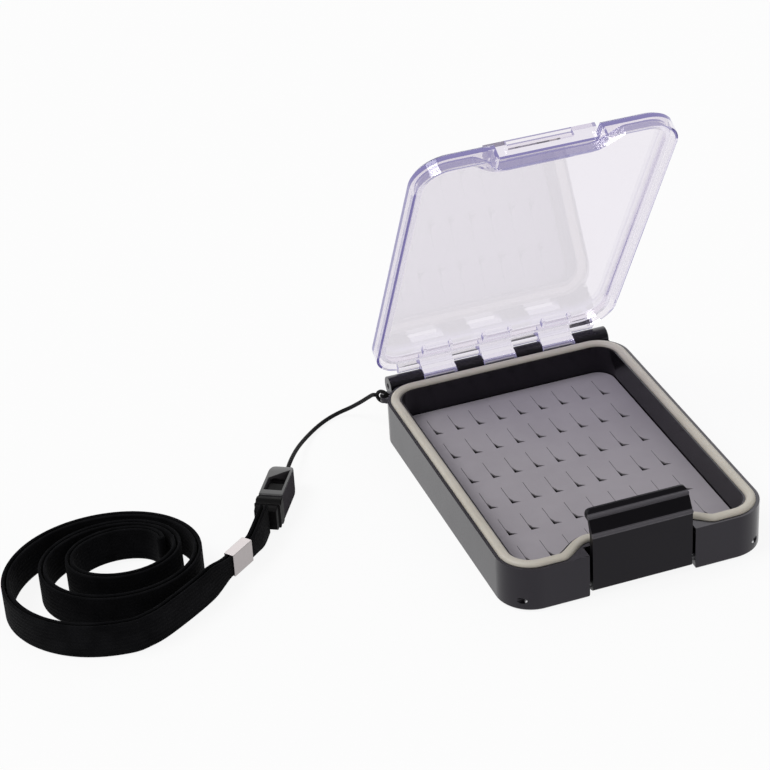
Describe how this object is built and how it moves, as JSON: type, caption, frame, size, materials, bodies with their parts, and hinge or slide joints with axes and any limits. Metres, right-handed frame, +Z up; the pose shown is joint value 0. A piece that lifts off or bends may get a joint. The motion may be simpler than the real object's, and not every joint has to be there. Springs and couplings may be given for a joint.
{
  "type": "fly box",
  "caption": "Pocket fly box with a smoke-grey base, soft seal, slit foam, hinged clear lid, front latch and a neck lanyard on a release buckle.",
  "frame": {"origin": "middle of the base's flat underside, without the hinge and lug", "axes": "+Z up, -Y towards the latch and the front, +X to the right along the front"},
  "size_m": [0.1988, 0.1142, 0.1063],
  "materials": {
    "smoke_plastic": "smoke-grey tinted moulded plastic, polished outside, faintly see-through",
    "seal_rubber": "soft pale olive-grey silicone seal, satin",
    "slit_foam": "closed-cell grey foam sheet with cut slits, matte",
    "pin_steel": "drawn steel rod",
    "clear_plastic": "clear moulded plastic with faintly violet edges, polished",
    "black_plastic": "near-black moulded plastic, satin",
    "black_cord": "thin braided cord",
    "buckle_plastic": "black moulded buckle plastic, satin gloss",
    "ferrule_metal": "nickel-plated crimp, brushed",
    "black_webbing": "flat woven webbing"
  },
  "bodies": {
    "base": {"base_shell": "smoke_plastic", "seal_gasket": "seal_rubber", "foam_insert": "slit_foam", "hinge_pin": "pin_steel", "latch_pin": "pin_steel", "tether_loop": "black_cord", "tether_cord": "black_cord", "buckle_socket": "buckle_plastic"},
    "lid": {"clear_lid": "clear_plastic"},
    "latch": {"latch": "black_plastic"},
    "neck_strap": {"buckle_insert": "buckle_plastic", "ferrule": "ferrule_metal", "lanyard_strap": "black_webbing"}
  },
  "joints": [
    {"name": "lid_hinge", "type": "hinge", "parent": "base", "child": "lid", "pos_m": [0, 0.0547, 0.0114], "axis": [1, 0, 0], "range_deg": [-119, 60.4]},
    {"name": "latch_swing", "type": "hinge", "parent": "base", "child": "latch", "pos_m": [0, -0.0488, 0.0032], "axis": [1, 0, 0], "range_deg": [-5, 90]},
    {"name": "buckle_release", "type": "slide", "parent": "base", "child": "neck_strap", "axis": [-0.5165, -0.8563, 0], "range_m": [0, 0.013]}
  ]
}
